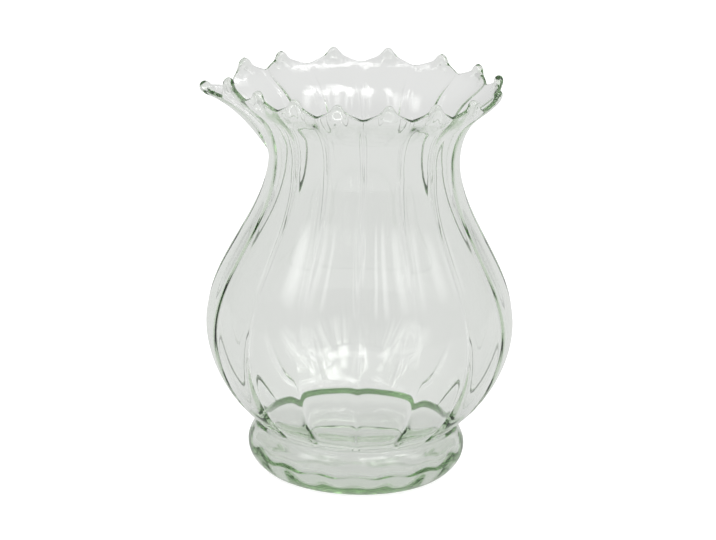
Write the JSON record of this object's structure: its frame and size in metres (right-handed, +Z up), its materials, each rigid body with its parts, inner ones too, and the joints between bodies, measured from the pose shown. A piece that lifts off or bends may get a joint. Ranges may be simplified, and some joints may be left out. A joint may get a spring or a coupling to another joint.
{
  "type": "fan vase",
  "caption": "Hand-blown clear green-tinted glass vase with a ribbed round belly, a waisted neck, a flared rim drawn into beaded points with one long lip, and a hollow rolled foot.",
  "frame": {"origin": "centre of the flat face that the foot stands on", "axes": "+Z up along the vase's axis, -Y towards the picture's viewer, the long lip towards -X"},
  "size_m": [0.1538, 0.1494, 0.1982],
  "materials": {
    "vessel_glass": "clear blown glass, pale green where thick",
    "foot_glass": "clear thick glass, fire-polished, greener",
    "bead_glass": "clear glass drops, fire-polished"
  },
  "bodies": {
    "root": {"vessel": "vessel_glass", "foot": "foot_glass", "rim_bead_01": "bead_glass", "rim_bead_02": "bead_glass", "rim_bead_03": "bead_glass", "rim_bead_04": "bead_glass", "rim_bead_05": "bead_glass", "rim_bead_06": "bead_glass", "rim_bead_07": "bead_glass", "rim_bead_08": "bead_glass", "rim_bead_09": "bead_glass", "rim_bead_10": "bead_glass", "rim_bead_11": "bead_glass", "rim_bead_12": "bead_glass", "rim_bead_13": "bead_glass", "rim_bead_14": "bead_glass", "rim_bead_15": "bead_glass", "rim_bead_16": "bead_glass"}
  },
  "joints": []
}
